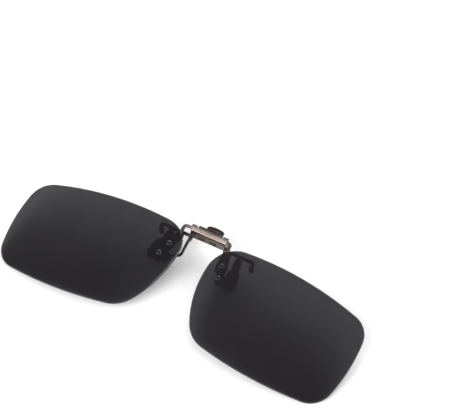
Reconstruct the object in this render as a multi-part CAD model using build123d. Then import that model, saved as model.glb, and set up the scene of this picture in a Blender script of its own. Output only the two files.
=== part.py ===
from build123d import *
import math
import os

# Clip-on flip-up sunglasses, lying on their back with the lens fronts up.
# The design is laid out in the worn frame, in millimetres: X to the side, Y back towards the face, Z up.
# Its origin is on the middle plane, level with the front of the lens centres and at half lens height.
# One placing turn at the end lays the whole assembly on the table.

# ---- lenses ----
lens_centre_x = 33.94          # lens centre from the middle plane
lens_radius = 163.0            # front surface radius
lens_thickness = 1.1
lens_wrap = 1.4                # each lens turns back at the temple by this angle, degrees
lens_bevel = 0.3               # polished edge
# the four corners of the lens outline before rounding (outward, up), the bow of the edge
# that follows each corner, and the rounding radius of each corner
lens_corners = [(-27.1, 18.7), (27.05, 13.2), (25.2, -17.45), (-20.6, -15.2)]
lens_bows = [2.5, 2.1, 2.4, 4.0]
lens_corner_radii = [9.4, 7.9, 8.3, 10.9]

# ---- lens fixing: two rivets through each lens, a bracket strip behind it ----
rivet_upper = (-24.15, 11.2)   # lens coordinates (outward, up)
rivet_lower = (-23.05, 6.75)
rivet_shank_radius = 0.5
rivet_head_radius = 1.05
rivet_head_height = 0.6
rivet_tail_radius = 0.8
rivet_tail_height = 0.35
lens_hole_radius = 0.53
washer_radius = 1.3
washer_thickness = 0.35        # space that the washer fills between the lens and the bracket
lens_sag = 0.06                # part of that space taken up by the curve of the lens
bracket_thickness = 0.45
bracket_width = 2.7
bracket_up = 8.6               # strip length above the middle of the rivets
bracket_down = 3.8

# ---- flip hinge: one bent wire ----
hinge_y = 4.1
hinge_z = 20.4
flip_wire_radius = 0.57
flip_wire_turn_x = (9.15, 7.8) # where the wire leaves the hinge line, left and right: the left loop is wider
flip_wire_dip_x = (9.25, 8.0)
flip_wire_dip = (3.95, 18.8)   # depth and height
flip_wire_bends = [0.9, 1.1, 1.1]
flip_wire_start = 1.0          # from the top end of the bracket to where the wire meets it
flip_wire_overlap = 3.7        # length brazed into the slot in the bracket
flip_wire_proud = 0.15         # wire centre behind the middle of the bracket

# ---- clip housing: sheet folded along a ridge, a leaning front wall above and a bottom plate behind ----
sheet = 0.4
housing_half = 6.6             # to the outside of the ears
ridge_y = 3.4
ridge_z = 19.4
ridge_round = 0.2
groove_start = 0.28            # a pressed groove runs along the bottom plate beside the ridge
groove_width = 0.5
groove_depth = 0.2
wall_lean = 15.7               # front wall leans forward by this angle, degrees
plate_slope = 16.0             # bottom plate falls towards the back by this angle, degrees
plate_depth = 3.43
horn_height = 2.03             # heights up the front wall from the ridge
notch_height = 1.6
flange_height = 2.3
horn_half = 6.75               # the two outer corners of the front wall
horn_inner = 5.0
horn_taper = 0.1
flange_half = 4.4              # the raised middle of the front wall
flange_chamfer = 0.25
ear_height = 1.8
ear_corner = 0.6
pin_y = 6.3
pin_z = 19.1
pin_radius = 0.39
pin_head_radius = 0.7
pin_head_height = 0.28
pin_head_corner = 0.2
ear_round = 0.85
running = 0.04                 # radial running clearance
bore_length = 40.0             # cutting cylinders and boxes are longer than what they cut
cut_height = 2.0
corner_cut_half = 5.65         # the bottom plate is cut back outside this for the lugs
corner_cut_depth = 1.8
coil_windows = [(-3.8, -1.35), (0.5, 3.0)]     # the bottom plate is open under the spring coils here
coil_window_depth = 1.5

# ---- rear lever and thumb tab ----
lug_outer = 6.13
lug_thickness = 0.38
lug_round = 0.75
lug_corner = 0.66
lever_plate_y = 7.25
lever_plate_half = 6.9
lever_plate_bottom = 18.8
lever_plate_top = 19.8
foot_inner = 5.9               # each foot carries a rear wire on its front face
foot_bottom = 17.2
tongue_foot_half = 4.2
tongue_half = 2.35
tongue_bend = 21.45
tongue_lean = 32.0             # degrees towards the front
tongue_length = 2.6
shoulder_length = 0.9          # the tongue narrows over this length above its bend
tab_half = 2.95
tab_thickness = 1.5
tab_start = 0.9                # along the leaning tongue
tab_length = 2.4
tab_rise = 0.4                 # the top edge of the tab is bowed by this
tab_corner = 0.9
tab_edge = 0.35

# ---- jaw wires and their rubber sleeves ----
rear_wire_radius = 0.5
rear_wire_points = [(6.4, 6.74, 18.1), (6.45, 6.85, 16.0), (6.45, 7.8, 11.4), (9.6, 8.1, 9.9),
                    (13.6, 8.1, 7.8)]
rear_wire_bends = [2.0, 1.5, 2.0]
rear_sleeve_start = (9.6, 8.1, 9.9)
rear_sleeve_end = (14.4, 8.1, 7.4)
rear_sleeve_width = 3.9
rear_sleeve_thickness = 2.4

front_arm_radius = 0.6
front_arm_points = [(6.2, 5.5, 18.15), (17.2, 5.35, 18.15), (16.85, 8.5, 16.5)]
front_arm_bends = [0.9]
prong_top = (12.35, 5.4, 18.15)
prong_end = (14.3, 5.45, 7.2)
prong_radius = 0.5
neck_start = 0.75              # distances along the prong
neck_length = 6.0
neck_width = 2.4
neck_thickness = 2.2
pad_start = 5.0
pad_length = 7.9
pad_width = 4.1
pad_thickness = 2.3
tip_radius = 0.85
tip_length = 2.2
tip_over = 0.5                 # the tip reaches past the end of the wire
tip_rim = 0.2

# ---- jaw spring ----
spring_wire_radius = 0.14
spring_radius = 0.6
spring_turns = 5
spring_pitch = 0.36

# ---- flip detent leaf ----
leaf_half = 3.0
leaf_thickness = 0.12
leaf_back = 1.9                # how far back from the ridge the leaf lies on the bottom plate
leaf_gap = 0.02                # from the hinge wire, and the rise of the leaf's bow

# ---- how the assembly lies on the table ----
rest_tilt = 12.2               # degrees from the lens plane to the table; lenses and rear sleeves touch it


def mirrored(shape):
    """The same piece on the left side."""
    return shape.mirror(Plane.YZ)


def wire_rod(points, bends, radius):
    """A round wire along straight runs joined by bends."""
    path = FilletPolyline(*points, radius=bends)
    start = Plane(origin=path @ 0, z_dir=path % 0)
    return sweep(start * Circle(radius), path=path)


def side_plate(outline, x_low, thickness, fillets):
    """A plate in the YZ plane from an outline of (y, z) points, corners rounded by {index: radius}."""
    face = make_face(Polyline(*[(y, z) for y, z in outline], close=True))
    for index, radius in fillets.items():
        corner = Vector(*outline[index])
        nearest = face.vertices().sort_by_distance(corner)[0]
        face = fillet(nearest, radius)
    plane = Plane(origin=(x_low, 0, 0), x_dir=(0, 1, 0), z_dir=(1, 0, 0))
    return extrude(plane * face, amount=thickness)


def lens_outline():
    """The rounded outline: four corners joined by bowed edges."""
    edges = []
    for index, start in enumerate(lens_corners):
        end = lens_corners[(index + 1) % 4]
        middle = ((Vector(*start) + Vector(*end)) * 0.5)
        along = (Vector(*end) - Vector(*start)).normalized()
        outward = Vector(-along.Y, along.X)
        edges.append(ThreePointArc(Vector(*start), middle + outward * lens_bows[index], Vector(*end)))
    face = make_face(edges)
    for corner, radius in zip(lens_corners, lens_corner_radii):
        nearest = face.vertices().sort_by_distance(Vector(*corner))[0]
        face = fillet(nearest, radius)
    return face


def lens_place():
    """From lens coordinates to the worn frame, right side."""
    return Location((lens_centre_x, 0, 0)) * Rotation(0, 0, lens_wrap)


def fixing_plane():
    """On the lens front between the rivets: Z out of the front, X down the line of the rivets."""
    u = (rivet_upper[0] + rivet_lower[0]) / 2
    v = (rivet_upper[1] + rivet_lower[1]) / 2
    y = lens_radius - math.sqrt(lens_radius**2 - u**2 - v**2)
    normal = Vector(u, y - lens_radius, v).normalized()
    along = Vector(rivet_lower[0] - rivet_upper[0], 0, rivet_lower[1] - rivet_upper[1])
    along = (along - normal * along.dot(normal)).normalized()
    return Plane(origin=(u, y, v), x_dir=along, z_dir=normal)


rivet_span = math.dist(rivet_upper, rivet_lower)


def fixing_place():
    """From the fixing plane's coordinates to the worn frame, right side."""
    return lens_place() * fixing_plane().location


def rivet_spots():
    return [Pos(-rivet_span / 2, 0, 0), Pos(rivet_span / 2, 0, 0)]


def make_lens():
    blank = extrude(Plane.XZ * lens_outline(), amount=12, both=True)
    centre = Location((0, lens_radius, 0))
    shell = centre * Sphere(lens_radius) - centre * Sphere(lens_radius - lens_thickness)
    lens = (blank & shell).solids().sort_by(Axis.Y)[0]
    rims = [edge for edge in lens.edges() if edge.length > 1.0 and not spans_thickness(edge)]
    lens = chamfer(rims, lens_bevel)
    for spot in rivet_spots():
        lens -= fixing_plane().location * spot * Cylinder(lens_hole_radius, 6)
    return lens_place() * lens


def spans_thickness(edge):
    """True for the short edges that run from the front surface to the back one."""
    return edge.length < 1.6


def dome(radius, height):
    """A round cap standing on the XY plane."""
    ball = (radius**2 + height**2) / (2 * height)
    return split(Pos(0, 0, height - ball) * Sphere(ball), Plane.XY, keep=Keep.TOP)


def make_rivets():
    stack = lens_thickness + washer_thickness + bracket_thickness
    shank = Pos(0, 0, -stack / 2) * Cylinder(rivet_shank_radius, stack)
    tail = Pos(0, 0, -stack) * Rotation(180, 0, 0) * dome(rivet_tail_radius, rivet_tail_height)
    rivet = dome(rivet_head_radius, rivet_head_height) + shank + tail
    return Compound([fixing_place() * spot * rivet for spot in rivet_spots()])


def make_washers():
    pieces = []
    for spot in rivet_spots():
        ring = Cylinder(washer_radius, washer_thickness - lens_sag) - Cylinder(rivet_shank_radius, 1)
        ring = Pos(0, 0, -lens_thickness - (washer_thickness + lens_sag) / 2) * ring
        pieces.append(fixing_place() * spot * ring)
    return Compound(pieces)


def make_bracket():
    length = bracket_up + bracket_down
    strip = Pos((bracket_down - bracket_up) / 2, 0) * RectangleRounded(length, bracket_width, bracket_width * 0.46)
    for spot in rivet_spots():
        strip -= spot * Circle(rivet_shank_radius)
    bottom = -lens_thickness - washer_thickness - bracket_thickness
    plate = extrude(Pos(0, 0, bottom) * strip, amount=bracket_thickness)
    return fixing_place() * plate


def bracket_point(distance_up):
    """Centre of the flip wire where it lies in the slot of the bracket."""
    depth = lens_thickness + washer_thickness + bracket_thickness / 2 + flip_wire_proud
    return (fixing_place() * Pos(-distance_up, 0, -depth)).position


def make_flip_wire():
    low = bracket_point(bracket_up - flip_wire_start - flip_wire_overlap)
    high = bracket_point(bracket_up - flip_wire_start)
    left, right = [[Vector(turn, hinge_y, hinge_z), Vector(dip, *flip_wire_dip), high, low]
                   for turn, dip in zip(flip_wire_turn_x, flip_wire_dip_x)]
    left = [Vector(-point.X, point.Y, point.Z) for point in reversed(left)]
    return wire_rod(left + right, flip_wire_bends[::-1] + flip_wire_bends, flip_wire_radius)


def wall_place():
    """On the ridge: X sideways, Y up the outside of the leaning front wall, Z towards the front."""
    return Pos(0, ridge_y, ridge_z) * Rotation(90 + wall_lean, 0, 0)


def plate_place():
    """On the ridge: X sideways, Y back along the underside of the bottom plate, Z up."""
    return Pos(0, ridge_y, ridge_z) * Rotation(-plate_slope, 0, 0)


def side_point(place, distance):
    """Depth and height of the point at this distance from the ridge."""
    spot = (place * Pos(0, distance, 0)).position
    return (spot.Y, spot.Z)


def make_housing(arms):
    plate = Pos(0, plate_depth / 2, sheet / 2) * Box(2 * housing_half, plate_depth, sheet)
    for side in (-1, 1):
        corner = Box(housing_half, plate_depth, cut_height)
        corner_x = corner_cut_half + housing_half / 2
        plate -= Pos(side * corner_x, corner_cut_depth + plate_depth / 2, 0) * corner
    for low, high in coil_windows:
        window = Box(high - low, 2 * coil_window_depth, cut_height)
        plate -= Pos((low + high) / 2, plate_depth, 0) * window
    groove = Box(bore_length, groove_width, 2 * groove_depth)
    groove = plate_place() * Pos(0, groove_start + groove_width / 2, 0) * groove
    right_edge = [(housing_half, 0), (horn_half, horn_height), (horn_inner, horn_height),
                  (horn_inner - horn_taper, notch_height), (flange_half, notch_height),
                  (flange_half, flange_height - flange_chamfer), (flange_half - flange_chamfer, flange_height)]
    left_edge = [(-x, y) for x, y in reversed(right_edge)]
    wall = extrude(make_face(Polyline(*right_edge, *left_edge, close=True)), amount=-sheet)
    shell = plate_place() * plate + wall_place() * wall
    ear_outline = [side_point(plate_place(), 0), side_point(plate_place(), corner_cut_depth),
                   (pin_y, pin_z - ear_round), (pin_y, pin_z + ear_round),
                   (hinge_y + ear_round, ridge_z + ear_height), side_point(wall_place(), ear_height)]
    for x_low in (housing_half - sheet, -housing_half):
        shell += side_plate(ear_outline, x_low, sheet, {4: ear_corner})
        shell += Pos(x_low + sheet / 2, pin_y, pin_z) * Rotation(0, 90, 0) * Cylinder(ear_round, sheet)
    shell = shell.clean()
    ridge = [edge for edge in shell.edges().filter_by(Axis.X)
             if abs(edge.center().Y - ridge_y) < 0.01 and abs(edge.center().Z - ridge_z) < 0.01]
    shell = fillet(ridge, ridge_round) - groove
    along_x = Rotation(0, 90, 0)
    shell -= Pos(0, hinge_y, hinge_z) * along_x * Cylinder(flip_wire_radius + running, bore_length)
    shell -= Pos(0, pin_y, pin_z) * along_x * Cylinder(pin_radius, bore_length)
    for arm in arms:
        shell -= arm
    return shell


def make_pin():
    along_x = Rotation(0, 90, 0)
    length = 2 * housing_half
    pin = Cylinder(pin_radius, length)
    for side in (-1, 1):
        head = Pos(0, 0, side * (length + pin_head_height) / 2) * Cylinder(pin_head_radius, pin_head_height)
        rim = head.edges().sort_by(Axis.Z)[-1 if side > 0 else 0]
        pin += fillet(rim, pin_head_corner)
    return Pos(0, pin_y, pin_z) * along_x * pin


def lever_slab(half, low, high):
    """A piece of the lever's flat back plate."""
    middle = Pos(0, lever_plate_y + sheet / 2, (low + high) / 2)
    return middle * Box(2 * half, sheet, high - low)


def leaning_place():
    """At the tongue's bend, X sideways, Z up along the leaning tongue."""
    return Pos(0, lever_plate_y + sheet / 2, tongue_bend) * Rotation(tongue_lean, 0, 0)


def make_lever():
    lug_outline = [(pin_y - lug_round, pin_z + lug_round), (lever_plate_y, pin_z + lug_round),
                   (lever_plate_y, pin_z - lug_round), (pin_y - lug_round, pin_z - lug_round)]
    plate = lever_slab(lever_plate_half, lever_plate_bottom, lever_plate_top)
    plate += lever_slab(tongue_foot_half, lever_plate_top - sheet, tongue_bend)
    right_edge = [(tongue_foot_half, 0), (tongue_half, shoulder_length), (tongue_half, tongue_length)]
    left_edge = [(-x, z) for x, z in reversed(right_edge)]
    tongue = make_face(Polyline(*right_edge, *left_edge, close=True))
    plate += leaning_place() * extrude(Plane.XZ.offset(-sheet / 2) * tongue, amount=sheet)
    foot = Box(lever_plate_half - foot_inner, sheet, lever_plate_top - foot_bottom)
    for side in (-1, 1):
        centre = Pos(side * (lever_plate_half + foot_inner) / 2, lever_plate_y + sheet / 2,
                     (lever_plate_top + foot_bottom) / 2)
        plate += centre * foot
        x_low = lug_outer - lug_thickness if side > 0 else -lug_outer
        plate += side_plate(lug_outline, x_low, lug_thickness, {0: lug_corner, 3: lug_corner})
    lever = plate.clean()
    lever -= Pos(0, pin_y, pin_z) * Rotation(0, 90, 0) * Cylinder(pin_radius + running, bore_length)
    return lever


def make_tab():
    """A thumb pad on the back of the tongue, with a rim round the tongue's top and sides."""
    low, high = tab_start, tab_start + tab_length
    top = ThreePointArc((tab_half, high - tab_rise), (0, high), (-tab_half, high - tab_rise))
    bottom = Line((-tab_half, low), (tab_half, low))
    right = Line((tab_half, low), (tab_half, high - tab_rise))
    left = Line((-tab_half, high - tab_rise), (-tab_half, low))
    face = make_face([top, bottom, right, left])
    face = fillet(face.vertices().sort_by(Axis.Y)[-2:], tab_corner)
    cap = extrude(Plane.XZ.offset(sheet / 2) * face, amount=-tab_thickness)
    cap = fillet(cap.edges().group_by(Axis.Y)[-1].sort_by(Axis.Z)[-3:], tab_edge)
    slot = Box(2 * tongue_half, sheet, 2 * tongue_length)
    return leaning_place() * (cap - slot)


def make_rear_wire():
    return wire_rod(rear_wire_points, rear_wire_bends, rear_wire_radius)


def capsule(start, end, width, thickness):
    """A flattened pad with rounded edges between two points; its flat side faces front and back."""
    along = (end - start).normalized()
    front = Vector(0, -1, 0)
    front = (front - along * front.dot(along)).normalized()
    plane = Plane(origin=(start + end) * 0.5, x_dir=along, z_dir=front)
    outline = RectangleRounded((end - start).length, width, width * 0.49)
    body = extrude(outline, amount=thickness / 2, both=True)
    rims = body.edges().group_by(Axis.Z)
    body = fillet(rims[0] + rims[-1], thickness * 0.34)
    return plane * body


def make_rear_sleeve(wire):
    start = Vector(*rear_sleeve_start)
    end = Vector(*rear_sleeve_end)
    pad = capsule(start, end, rear_sleeve_width, rear_sleeve_thickness)
    return pad - wire


def make_front_arm():
    bar = wire_rod(front_arm_points, front_arm_bends, front_arm_radius)
    start = Vector(*prong_top)
    length = (Vector(*prong_end) - start).length
    prong = Pos(0, 0, length / 2) * Cylinder(prong_radius, length)
    prong = Plane(origin=start, z_dir=prong_direction()) * prong
    return (bar + prong).clean()


def prong_direction():
    return (Vector(*prong_end) - Vector(*prong_top)).normalized()


def make_front_sleeve(arm):
    along = prong_direction()
    start = Vector(*prong_top)
    neck_top = start + along * neck_start
    neck = capsule(neck_top, neck_top + along * neck_length, neck_width, neck_thickness)
    pad_top = start + along * pad_start
    pad = capsule(pad_top, pad_top + along * pad_length, pad_width, pad_thickness)
    return (neck + pad).clean() - arm


def make_tip(arm):
    end = Vector(*front_arm_points[-1])
    along = (end - Vector(*front_arm_points[-2])).normalized()
    tube = Pos(0, 0, tip_length / 2) * Cylinder(tip_radius, tip_length)
    tube = fillet(tube.edges().group_by(Axis.Z)[-1], tip_radius * 0.8)
    tube = fillet(tube.edges().group_by(Axis.Z)[0], tip_rim)
    return Plane(origin=end - along * (tip_length - tip_over), z_dir=along) * tube - arm


def make_spring():
    """Two coils on the pin, each in the middle of its window."""
    coils = []
    height = spring_turns * spring_pitch
    for low, high in coil_windows:
        helix = Helix(pitch=spring_pitch, height=height, radius=spring_radius)
        section = Plane(origin=helix @ 0, z_dir=helix % 0) * Circle(spring_wire_radius)
        coil = sweep(section, path=helix, is_frenet=True)
        start = (low + high - height) / 2
        coils.append(Pos(start, pin_y, pin_z) * Rotation(0, 90, 0) * coil)
    return Compound(coils)


def make_leaf():
    """A thin bowed strip on the bottom plate that presses the hinge wire into its stops."""
    rod = plate_place().inverse() * Pos(0, hinge_y, hinge_z)
    crest = rod.position.Z - flip_wire_radius - leaf_gap
    front = rod.position.Y
    top = ThreePointArc((front, crest), ((front + leaf_back) / 2, crest + leaf_gap), (leaf_back, sheet + leaf_thickness))
    under = ThreePointArc((leaf_back, sheet), ((front + leaf_back) / 2, crest - leaf_thickness),
                          (front, crest - leaf_thickness))
    outline = make_face([top, Line((leaf_back, sheet + leaf_thickness), (leaf_back, sheet)), under,
                         Line((front, crest - leaf_thickness), (front, crest))])
    plane = Plane(origin=(-leaf_half, 0, 0), x_dir=(0, 1, 0), z_dir=(1, 0, 0))
    return plate_place() * extrude(plane * outline, amount=2 * leaf_half)


right_lens = make_lens()
right_rivets = make_rivets()
right_washers = make_washers()
flip_wire = make_flip_wire()
right_bracket = make_bracket()
right_rear_wire = make_rear_wire()
right_rear_sleeve = make_rear_sleeve(right_rear_wire)
right_arm = make_front_arm()
right_sleeve = make_front_sleeve(right_arm)
right_tip = make_tip(right_arm)

pieces = {
    "flip_hinge_wire": flip_wire,
    "clip_housing": make_housing([right_arm, mirrored(right_arm)]),
    "jaw_pivot_pin": make_pin(),
    "jaw_spring": make_spring(),
    "flip_detent_leaf": make_leaf(),
    "rear_lever": make_lever(),
    "thumb_tab": make_tab(),
}
for name, shape in {
    "lens": right_lens,
    "lens_rivets": right_rivets,
    "lens_washers": right_washers,
    "lens_bracket": right_bracket,
    "rear_wire": right_rear_wire,
    "rear_sleeve": right_rear_sleeve,
    "front_arm": right_arm,
    "front_sleeve": right_sleeve,
    "rest_tip": right_tip,
}.items():
    pieces["right_" + name] = shape
    pieces["left_" + name] = mirrored(shape)
for side in ("right_", "left_"):
    pieces[side + "lens_bracket"] -= flip_wire

# ---- lay the assembly on the table, lens fronts up, and centre it on its footprint ----
lying = Rotation(-(90 - rest_tilt), 0, 0)
laid = {name: lying * shape for name, shape in pieces.items()}
boxes = [shape.bounding_box() for shape in laid.values()]
low_y = min(box.min.Y for box in boxes)
high_y = max(box.max.Y for box in boxes)
low_z = min(box.min.Z for box in boxes)
shift = Pos(0, -(low_y + high_y) / 2, -low_z)

os.makedirs("parts", exist_ok=True)
for name, shape in laid.items():
    export_step(shift * shape, f"parts/{name}.step")

grip_y = (prong_end[1] + rear_sleeve_start[1]) / 2
grip_z = (rear_sleeve_start[2] + rear_sleeve_end[2]) / 2
for label, y, z in (("flip hinge", hinge_y, hinge_z), ("jaw pivot", pin_y, pin_z), ("grip", grip_y, grip_z)):
    spot = (shift * lying * Pos(0, y, z)).position
    print(label, round(spot.Y, 4), round(spot.Z, 4))
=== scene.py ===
"""Clip-on flip-up sunglasses: looks, floor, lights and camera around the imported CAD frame."""
import math

import bpy
from mathutils import Matrix, Vector

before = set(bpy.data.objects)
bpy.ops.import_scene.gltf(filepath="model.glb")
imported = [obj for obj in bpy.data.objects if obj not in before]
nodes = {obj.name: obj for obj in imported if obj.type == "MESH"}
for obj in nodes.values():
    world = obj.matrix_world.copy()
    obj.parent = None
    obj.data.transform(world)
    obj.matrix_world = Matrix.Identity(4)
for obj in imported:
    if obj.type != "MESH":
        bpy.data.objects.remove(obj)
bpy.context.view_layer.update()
scene = bpy.context.scene
scene.view_settings.view_transform = "Standard"

MM = 0.001

# ---- camera, set to the photograph's viewing angle ----
CAMERA_PLACE = (174.63 * MM, -266.15 * MM, 411.63 * MM)
CAMERA_AZIMUTH = 30.40         # degrees round the object from its front, to the right
CAMERA_ELEVATION = 49.41
CAMERA_ROLL = -0.92
CAMERA_LENS = 125.1            # focal length and sensor width, both in mm
SENSOR_WIDTH = 36.0
CLIP_NEAR = 0.01
CLIP_FAR = 10.0


def make_camera():
    data = bpy.data.cameras.new("camera")
    data.lens = CAMERA_LENS
    data.sensor_width = SENSOR_WIDTH
    data.clip_start = CLIP_NEAR
    data.clip_end = CLIP_FAR
    camera = bpy.data.objects.new("camera", data)
    scene.collection.objects.link(camera)
    azimuth = math.radians(CAMERA_AZIMUTH)
    elevation = math.radians(CAMERA_ELEVATION)
    back = Vector((math.sin(azimuth) * math.cos(elevation),
                   -math.cos(azimuth) * math.cos(elevation),
                   math.sin(elevation)))
    aim = (-back).to_track_quat("-Z", "Y").to_matrix()
    roll = Matrix.Rotation(math.radians(CAMERA_ROLL), 3, "Z")
    camera.matrix_world = Matrix.Translation(CAMERA_PLACE) @ (aim @ roll).to_4x4()
    scene.camera = camera


# ---- the housing's painted light and shade along Z: plate painted dark, painted shadow in the groove, foot of the front wall painted pale, horns painted dark ----
# painted light and shade: where along Z the painted tones start and end, and their stops
PAINTED_LIGHT_START = 7.0 * MM
PAINTED_LIGHT_END = 9.5 * MM
PAINTED_LIGHT_STOPS = [(0.40, 0.85), (0.52, 1.70), (0.70, 1.55), (0.80, 0.75), (0.92, 0.30)]
GROOVE_BOTTOM = 7.66 * MM
GROOVE_TOP = 8.12 * MM
GROOVE_HALF = 6.15 * MM
# painted shadow in the groove under the front wall
GROOVE_PAINTED_SHADE = (0.012, 0.009, 0.008)
BAND_SOFT = 0.04 * MM          # width of the fade at each side of a band

# ---- relief of each kind of surface ----
METAL_RELIEF = 0.004 * MM
LENS_RELIEF = 0.002 * MM
RUBBER_RELIEF = 0.01 * MM
MOULDED_RELIEF = 0.006 * MM

# ---- floor and lights: name, place, size (both in metres) and watts ----
FLOOR_HALF = 3.0
LIGHTS = [
    ("front_soft", (-0.28, -0.70, 0.66), (0.8, 0.6), 8.0),
    ("back_soft", (-0.20, 1.00, 0.60), (1.1, 0.6), 9.0),
    ("right_soft", (1.00, 0.15, 0.50), (0.7, 0.7), 6.0),
]

# ---- world: a bright room with a dark patch overhead ----
PATCH_DIRECTION = (0.02, 0.00, 0.92)
PATCH_INNER = 20.0             # degrees from the middle of the patch, where its fade starts and ends
PATCH_OUTER = 80.0
ROOM_BRIGHT = 1.35
ROOM_DARK = 0.25


# ---- material helpers ----
class Surface:
    """A Principled material whose colour, roughness and bump come from object-space noise."""

    def __init__(self, name):
        self.material = bpy.data.materials.new(name)
        self.material.use_nodes = True
        self.tree = self.material.node_tree
        self.tree.nodes.clear()
        self.output = self.tree.nodes.new("ShaderNodeOutputMaterial")
        self.shader = self.tree.nodes.new("ShaderNodeBsdfPrincipled")
        self.link(self.shader.outputs["BSDF"], self.output.inputs["Surface"])
        self.place = self.tree.nodes.new("ShaderNodeTexCoord").outputs["Object"]

    def link(self, source, target):
        self.tree.links.new(source, target)

    def set(self, **values):
        """Shader inputs by name, with _ for each space."""
        for key, value in values.items():
            self.shader.inputs[key.replace("_", " ")].default_value = value

    def stretch(self, scale):
        """Object coordinates scaled per axis, to draw out a grain."""
        mapping = self.tree.nodes.new("ShaderNodeMapping")
        mapping.inputs["Scale"].default_value = scale
        self.link(self.place, mapping.inputs["Vector"])
        return mapping.outputs["Vector"]

    def noise(self, scale, detail=3.0, rough=0.5, vector=None):
        node = self.tree.nodes.new("ShaderNodeTexNoise")
        node.inputs["Scale"].default_value = scale
        node.inputs["Detail"].default_value = detail
        node.inputs["Roughness"].default_value = rough
        self.link(vector or self.place, node.inputs["Vector"])
        return node.outputs["Fac"]

    def ramp(self, factor, stops):
        """A colour ramp through (position, colour) stops."""
        node = self.tree.nodes.new("ShaderNodeValToRGB")
        elements = node.color_ramp.elements
        while len(elements) < len(stops):
            elements.new(0.5)
        for element, (position, colour) in zip(elements, stops):
            element.position = position
            element.color = (*colour, 1.0)
        self.link(factor, node.inputs["Fac"])
        return node.outputs["Color"]

    def level(self, factor, low, high, start=0.3, end=0.7):
        """A factor from start to end becomes a value from low to high."""
        node = self.tree.nodes.new("ShaderNodeMapRange")
        for key, value in (("From Min", start), ("From Max", end), ("To Min", low), ("To Max", high)):
            node.inputs[key].default_value = value
        self.link(factor, node.inputs["Value"])
        return node.outputs["Result"]

    def bump(self, height, distance, strength=1.0):
        node = self.tree.nodes.new("ShaderNodeBump")
        node.inputs["Distance"].default_value = distance
        node.inputs["Strength"].default_value = strength
        self.link(height, node.inputs["Height"])
        self.link(node.outputs["Normal"], self.shader.inputs["Normal"])

    def over(self, colour, top_colour, factor):
        """Mix a flat colour over another by a factor."""
        mix = self.tree.nodes.new("ShaderNodeMix")
        mix.data_type = "RGBA"
        self.link(factor, mix.inputs["Factor"])
        self.link(colour, mix.inputs["A"])
        mix.inputs["B"].default_value = (*top_colour, 1.0)
        return mix.outputs["Result"]

    def coordinate(self, axis):
        split = self.tree.nodes.new("ShaderNodeSeparateXYZ")
        self.link(self.place, split.inputs["Vector"])
        return split.outputs[axis]

    def times(self, first, second):
        node = self.tree.nodes.new("ShaderNodeMath")
        node.operation = "MULTIPLY"
        self.link(first, node.inputs[0])
        self.link(second, node.inputs[1])
        return node.outputs["Value"]

    def band(self, axis, low, high):
        """1 between two object-space coordinates, 0 outside them."""
        along = self.coordinate(axis)
        above = self.level(along, 0.0, 1.0, start=low - BAND_SOFT, end=low)
        below = self.level(along, 1.0, 0.0, start=high, end=high + BAND_SOFT)
        return self.times(above, below)

    def painted_light_and_shade(self, colour):
        """The colour made paler or darker along Z, as painted light and shade on the housing's plate, front
        wall and horns.
        """
        along = self.level(self.coordinate("Z"), 0.0, 1.0, start=PAINTED_LIGHT_START, end=PAINTED_LIGHT_END)
        greys = [(stop, (tone, tone, tone)) for stop, tone in PAINTED_LIGHT_STOPS]
        mix = self.tree.nodes.new("ShaderNodeMix")
        mix.data_type = "RGBA"
        mix.blend_type = "MULTIPLY"
        mix.inputs["Factor"].default_value = 1.0
        self.link(colour, mix.inputs["A"])
        self.link(self.ramp(along, greys), mix.inputs["B"])
        return mix.outputs["Result"]


def dress(material, *names):
    """Give CAD nodes a material in their own slots."""
    for name in names:
        mesh = nodes[name].data
        mesh.materials.clear()
        mesh.materials.append(material)


def both(*names):
    """The left and the right piece of each name."""
    return [side + name for side in ("left_", "right_") for name in names]


def lens_material():
    """Smoke-grey tint, seen through only a little, with the faint mottling of a coated lens."""
    s = Surface("lens_tint")
    mottle = s.noise(55.0, detail=2.0)
    tint = s.ramp(mottle, [(0.3, (0.0088, 0.0078, 0.0095)), (0.7, (0.0112, 0.0100, 0.0122))])
    s.link(tint, s.shader.inputs["Base Color"])
    s.link(s.level(s.noise(900.0, detail=4.0), 0.10, 0.16), s.shader.inputs["Roughness"])
    s.set(IOR=1.49, Alpha=0.80, Specular_IOR_Level=0.35)
    s.bump(s.noise(2600.0, detail=2.0), LENS_RELIEF, 0.2)
    return s.material


def brushed_metal(name, dark, light, rough, grain, housing=False):
    """Plated metal with a drawn grain; on the housing, painted light and shade along Z and a painted shadow
    in its groove.
    """
    s = Surface(name)
    streaks = s.noise(1.0, detail=5.0, rough=0.6, vector=s.stretch(grain))
    cloud = s.noise(420.0)
    colour = s.ramp(streaks, [(0.32, dark), (0.68, light)])
    if housing:
        # on the housing: a painted shadow in the groove, laid over painted light and shade along Z
        groove = s.times(s.band("Z", GROOVE_BOTTOM, GROOVE_TOP), s.band("X", -GROOVE_HALF, GROOVE_HALF))
        colour = s.over(s.painted_light_and_shade(colour), GROOVE_PAINTED_SHADE, groove)
    s.link(colour, s.shader.inputs["Base Color"])
    s.link(s.level(cloud, rough[0], rough[1]), s.shader.inputs["Roughness"])
    s.set(Metallic=1.0, Anisotropic=0.35)
    s.bump(streaks, METAL_RELIEF, 0.5)
    return s.material


def rubber():
    """Matt black rubber with a fine tooth."""
    s = Surface("sleeve_rubber")
    colour = s.ramp(s.noise(700.0, detail=4.0), [(0.3, (0.010, 0.010, 0.011)), (0.7, (0.020, 0.020, 0.021))])
    s.link(colour, s.shader.inputs["Base Color"])
    s.link(s.level(s.noise(1800.0), 0.48, 0.70), s.shader.inputs["Roughness"])
    s.set(Specular_IOR_Level=0.4)
    s.bump(s.noise(5200.0), RUBBER_RELIEF, 0.5)
    return s.material


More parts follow.
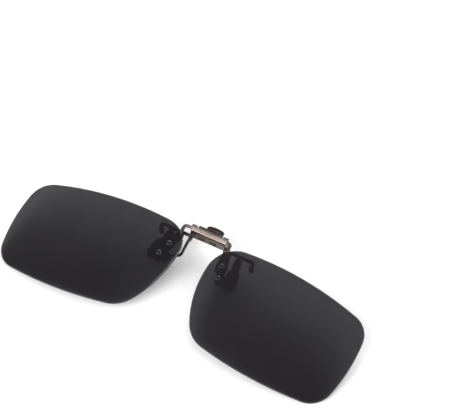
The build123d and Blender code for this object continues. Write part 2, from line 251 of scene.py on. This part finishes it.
def moulded(name, dark, light, rough):
    """Moulded plastic or enamel with a faint skin."""
    s = Surface(name)
    colour = s.ramp(s.noise(500.0), [(0.3, dark), (0.7, light)])
    s.link(colour, s.shader.inputs["Base Color"])
    s.link(s.level(s.noise(1400.0), rough[0], rough[1]), s.shader.inputs["Roughness"])
    s.set(Specular_IOR_Level=0.25)
    s.bump(s.noise(3800.0, detail=2.0), MOULDED_RELIEF, 0.4)
    return s.material


def make_floor():
    """A plain white sheet under the object."""
    mesh = bpy.data.meshes.new("floor")
    corners = [(x * FLOOR_HALF, y * FLOOR_HALF, 0) for x, y in ((-1, -1), (1, -1), (1, 1), (-1, 1))]
    mesh.from_pydata(corners, [], [(0, 1, 2, 3)])
    floor = bpy.data.objects.new("floor", mesh)
    scene.collection.objects.link(floor)
    s = Surface("floor_white")
    paper = s.ramp(s.noise(8.0, detail=2.0), [(0.3, (0.93, 0.925, 0.93)), (0.7, (0.955, 0.95, 0.955))])
    s.link(paper, s.shader.inputs["Base Color"])
    s.set(Roughness=0.6, Specular_IOR_Level=0.2)
    mesh.materials.append(s.material)


def soft_light(name, place, size, watts):
    """A rectangular soft light that faces the object."""
    data = bpy.data.lights.new(name, "AREA")
    data.shape = "RECTANGLE"
    data.size, data.size_y = size
    data.energy = watts
    light = bpy.data.objects.new(name, data)
    light.location = place
    light.rotation_mode = "QUATERNION"
    light.rotation_quaternion = (-Vector(place)).to_track_quat("-Z", "Y")
    scene.collection.objects.link(light)


def make_world():
    """A bright room with a dark ceiling patch, so that the lenses mirror the patch and stay dark."""
    world = bpy.data.worlds.new("studio")
    scene.world = world
    world.use_nodes = True
    tree = world.node_tree
    direction = tree.nodes.new("ShaderNodeTexCoord").outputs["Generated"]
    patch = tree.nodes.new("ShaderNodeVectorMath")
    patch.operation = "DOT_PRODUCT"
    patch.inputs[1].default_value = Vector(PATCH_DIRECTION).normalized()
    tree.links.new(direction, patch.inputs[0])
    fade = tree.nodes.new("ShaderNodeMapRange")
    fade.interpolation_type = "SMOOTHSTEP"
    fade.inputs["From Min"].default_value = math.cos(math.radians(PATCH_OUTER))
    fade.inputs["From Max"].default_value = math.cos(math.radians(PATCH_INNER))
    fade.inputs["To Min"].default_value = ROOM_BRIGHT
    fade.inputs["To Max"].default_value = ROOM_DARK
    tree.links.new(patch.outputs["Value"], fade.inputs["Value"])
    background = tree.nodes["Background"]
    background.inputs["Color"].default_value = (1.0, 1.0, 1.0, 1.0)
    tree.links.new(fade.outputs["Result"], background.inputs["Strength"])


make_camera()
make_floor()
make_world()
for light in LIGHTS:
    soft_light(*light)

# ---- materials: darkest and lightest colour, range of roughness, and the metals' grain per axis ----
gunmetal = brushed_metal(
    "housing_metal", dark=(0.205, 0.165, 0.150), light=(0.275, 0.225, 0.205),
    rough=(0.24, 0.36), grain=(350.0, 3000.0, 3000.0), housing=True)
lever_metal = brushed_metal(
    "lever_metal", dark=(0.180, 0.148, 0.134), light=(0.250, 0.205, 0.186),
    rough=(0.24, 0.36), grain=(350.0, 3000.0, 3000.0))
hinge_metal = brushed_metal(
    "hinge_metal", dark=(0.085, 0.074, 0.068), light=(0.150, 0.130, 0.120),
    rough=(0.26, 0.40), grain=(3000.0, 300.0, 300.0))
wire_metal = brushed_metal(
    "wire_metal", dark=(0.035, 0.032, 0.031), light=(0.080, 0.073, 0.070),
    rough=(0.18, 0.32), grain=(900.0, 2500.0, 2500.0))
black_metal = brushed_metal(
    "black_metal", dark=(0.028, 0.028, 0.029), light=(0.060, 0.060, 0.062),
    rough=(0.14, 0.26), grain=(1500.0, 1500.0, 1500.0))
spring_steel = brushed_metal(
    "spring_steel", dark=(0.060, 0.056, 0.054), light=(0.130, 0.122, 0.115),
    rough=(0.20, 0.36), grain=(1500.0, 1500.0, 1500.0))
tab_plastic = moulded(
    "tab_plastic", dark=(0.003, 0.003, 0.003), light=(0.006, 0.006, 0.006),
    rough=(0.50, 0.62))
rivet_enamel = moulded(
    "rivet_enamel", dark=(0.004, 0.004, 0.004), light=(0.007, 0.007, 0.007),
    rough=(0.16, 0.24))
washer_plastic = moulded(
    "washer_plastic", dark=(0.03, 0.03, 0.03), light=(0.06, 0.06, 0.06),
    rough=(0.25, 0.40))
sleeve_rubber = rubber()
lens_tint = lens_material()

# ---- which piece wears which material ----
dress(lens_tint, *both("lens"))
dress(gunmetal, "clip_housing")
dress(lever_metal, "rear_lever")
dress(hinge_metal, "flip_hinge_wire")
dress(wire_metal, *both("front_arm", "rear_wire"))
dress(black_metal, "jaw_pivot_pin", *both("lens_bracket"))
dress(rivet_enamel, *both("lens_rivets"))
dress(spring_steel, "jaw_spring", "flip_detent_leaf")
dress(tab_plastic, "thumb_tab")
dress(sleeve_rubber, *both("front_sleeve", "rear_sleeve", "rest_tip"))
dress(washer_plastic, *both("lens_washers"))
